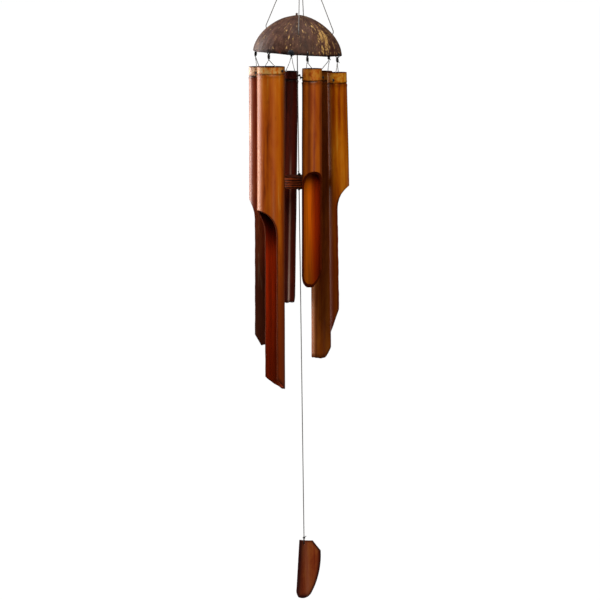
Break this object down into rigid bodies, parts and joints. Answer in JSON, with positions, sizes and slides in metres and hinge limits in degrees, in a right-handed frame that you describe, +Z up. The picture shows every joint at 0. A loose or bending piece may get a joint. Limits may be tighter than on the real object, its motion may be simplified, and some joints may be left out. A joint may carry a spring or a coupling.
{
  "type": "wind chime",
  "caption": "Hanging wind chime: scooped bamboo tubes on nylon lines under a coconut half shell, with a wooden clapper disc and a split-bamboo wind catcher.",
  "frame": {"origin": "centre of the round bore of the hanging ring, where a hook goes", "axes": "+Z up, +X to the right seen from the front, -Y towards the front"},
  "size_m": [0.1345, 0.1344, 0.9243],
  "materials": {
    "ring_steel": "bright drawn steel, lightly tarnished",
    "black_cord": "waxed black twine, knotted",
    "nylon_line": "thin grey nylon line, faintly glossy",
    "coconut": "sanded coconut shell, semi-gloss, with pale fibre flecks",
    "bamboo": "stained and lacquered bamboo, burnt orange to red brown, glossy",
    "clapper_wood": "dark turned wood, satin",
    "catcher_bamboo": "stained split bamboo, satin"
  },
  "bodies": {
    "hanging_ring": {"hanging_ring": "ring_steel"},
    "ring_loop": {"ring_loop": "black_cord"},
    "gather_knot": {"gather_knot": "black_cord"},
    "canopy": {"coconut_shell": "coconut", "front_knot": "black_cord", "hanger_cord_front": "nylon_line", "hanger_cord_right": "nylon_line", "hanger_cord_back": "nylon_line", "hanger_cord_left": "nylon_line", "hanger_knot_front": "nylon_line", "hanger_knot_right": "nylon_line", "hanger_knot_back": "nylon_line", "hanger_knot_left": "nylon_line", "rim_tie_front_left": "black_cord", "rim_tie_left": "black_cord", "rim_tie_back": "black_cord", "rim_tie_front": "black_cord", "rim_tie_back_right": "black_cord", "rim_tie_right": "black_cord"},
    "line_front_left": {"tube_line_front_left": "nylon_line", "stopper_knots_front_left": "black_cord"},
    "tube_front_left": {"bamboo_tube_front_left": "bamboo"},
    "line_left": {"tube_line_left": "nylon_line", "stopper_knots_left": "black_cord"},
    "tube_left": {"bamboo_tube_left": "bamboo"},
    "line_back": {"tube_line_back": "nylon_line", "stopper_knots_back": "black_cord"},
    "tube_back": {"bamboo_tube_back": "bamboo"},
    "line_front": {"tube_line_front": "nylon_line", "stopper_knots_front": "black_cord"},
    "tube_front": {"bamboo_tube_front": "bamboo"},
    "line_back_right": {"tube_line_back_right": "nylon_line", "stopper_knots_back_right": "black_cord"},
    "tube_back_right": {"bamboo_tube_back_right": "bamboo"},
    "line_right": {"tube_line_right": "nylon_line", "stopper_knots_right": "black_cord"},
    "tube_right": {"bamboo_tube_right": "bamboo"},
    "centre_knot": {"centre_knot": "nylon_line"},
    "clapper": {"upper_cord": "nylon_line", "clapper_knot": "black_cord", "clapper": "clapper_wood"},
    "lower_knot": {"lower_knot": "nylon_line"},
    "lower_cord": {"lower_cord": "nylon_line"},
    "catcher_knot": {"catcher_knot": "black_cord"},
    "wind_catcher": {"wind_catcher": "catcher_bamboo"}
  },
  "joints": [
    {"name": "hang_swing", "type": "hinge", "parent": "hanging_ring", "child": "ring_loop", "pos_m": [0, 0, -0.01232], "axis": [1, 0, 0], "range_deg": [-15, 15]},
    {"name": "hang_sway", "type": "hinge", "parent": "ring_loop", "child": "gather_knot", "pos_m": [0, 0, -0.02512], "axis": [0, -1, 0], "range_deg": [-15, 15]},
    {"name": "hang_twist", "type": "hinge", "parent": "gather_knot", "child": "canopy", "pos_m": [0, 0, -0.02512], "axis": [0, 0, 1], "range_deg": [-180, 180]},
    {"name": "sway_front_left", "type": "hinge", "parent": "canopy", "child": "line_front_left", "pos_m": [-0.04128, -0.04436, -0.17689], "axis": [-0.6561, -0.7547, 0], "range_deg": [-5, 5]},
    {"name": "swing_front_left", "type": "hinge", "parent": "line_front_left", "child": "tube_front_left", "pos_m": [-0.03834, -0.04199, -0.1906], "axis": [0.7547, -0.6561, 0], "range_deg": [-20, 3.5]},
    {"name": "sway_left", "type": "hinge", "parent": "canopy", "child": "line_left", "pos_m": [-0.05949, 0.01606, -0.17578], "axis": [0.9659, -0.2588, 0], "range_deg": [-5, 6]},
    {"name": "swing_left", "type": "hinge", "parent": "line_left", "child": "tube_left", "pos_m": [-0.05504, 0.01397, -0.1958], "axis": [-0.2588, -0.9659, 0], "range_deg": [-20, 5]},
    {"name": "sway_back", "type": "hinge", "parent": "canopy", "child": "line_back", "pos_m": [-0.01169, 0.05768, -0.17871], "axis": [0.1737, -0.9848, 0], "range_deg": [-6, 5]},
    {"name": "swing_back", "type": "hinge", "parent": "line_back", "child": "tube_back", "pos_m": [-0.01359, 0.055, -0.2021], "axis": [0.9847, 0.1736, -0.0137], "range_deg": [-6, 20]},
    {"name": "sway_front", "type": "hinge", "parent": "canopy", "child": "line_front", "pos_m": [0.00978, -0.05669, -0.18002], "axis": [0.2419, -0.9703, 0], "range_deg": [-4.5, 5]},
    {"name": "swing_front", "type": "hinge", "parent": "line_front", "child": "tube_front", "pos_m": [0.01583, -0.05252, -0.1992], "axis": [0.9703, 0.2419, 0], "range_deg": [-15, 5]},
    {"name": "sway_back_right", "type": "hinge", "parent": "canopy", "child": "line_back_right", "pos_m": [0.03892, 0.03973, -0.1818], "axis": [-0.7071, -0.7071, 0], "range_deg": [-5, 5.5]},
    {"name": "swing_back_right", "type": "hinge", "parent": "line_back_right", "child": "tube_back_right", "pos_m": [0.02899, 0.03897, -0.2031], "axis": [0.7071, -0.7071, 0.0025], "range_deg": [-2.5, 20]},
    {"name": "sway_right", "type": "hinge", "parent": "canopy", "child": "line_right", "pos_m": [0.04952, -0.02369, -0.18245], "axis": [0.9455, -0.3255, 0], "range_deg": [-5.5, 6]},
    {"name": "swing_right", "type": "hinge", "parent": "line_right", "child": "tube_right", "pos_m": [0.04922, -0.01798, -0.2038], "axis": [-0.3255, -0.9455, -0.0057], "range_deg": [-5, 20]},
    {"name": "clapper_swing", "type": "hinge", "parent": "canopy", "child": "centre_knot", "pos_m": [-0.00446, 0, -0.11761], "axis": [1, 0, 0], "range_deg": [-3.5, 2.5]},
    {"name": "clapper_sway", "type": "hinge", "parent": "centre_knot", "child": "clapper", "pos_m": [-0.00446, 0, -0.11761], "axis": [0, -1, 0], "range_deg": [-3.5, 3.25]},
    {"name": "tail_swing", "type": "hinge", "parent": "clapper", "child": "lower_knot", "pos_m": [-0.0012, 0, -0.3521], "axis": [1, 0, 0], "range_deg": [-10, 10]},
    {"name": "tail_sway", "type": "hinge", "parent": "lower_knot", "child": "lower_cord", "pos_m": [-0.0012, 0, -0.3521], "axis": [0, -1, 0], "range_deg": [-10, 10]},
    {"name": "catcher_spin", "type": "hinge", "parent": "lower_cord", "child": "catcher_knot", "pos_m": [0.00545, 0, -0.829], "axis": [0, 0, 1], "range_deg": [-180, 180]},
    {"name": "catcher_tilt", "type": "hinge", "parent": "catcher_knot", "child": "wind_catcher", "pos_m": [0.00545, 0, -0.8369], "axis": [0, -1, 0], "range_deg": [-25, 25]}
  ]
}
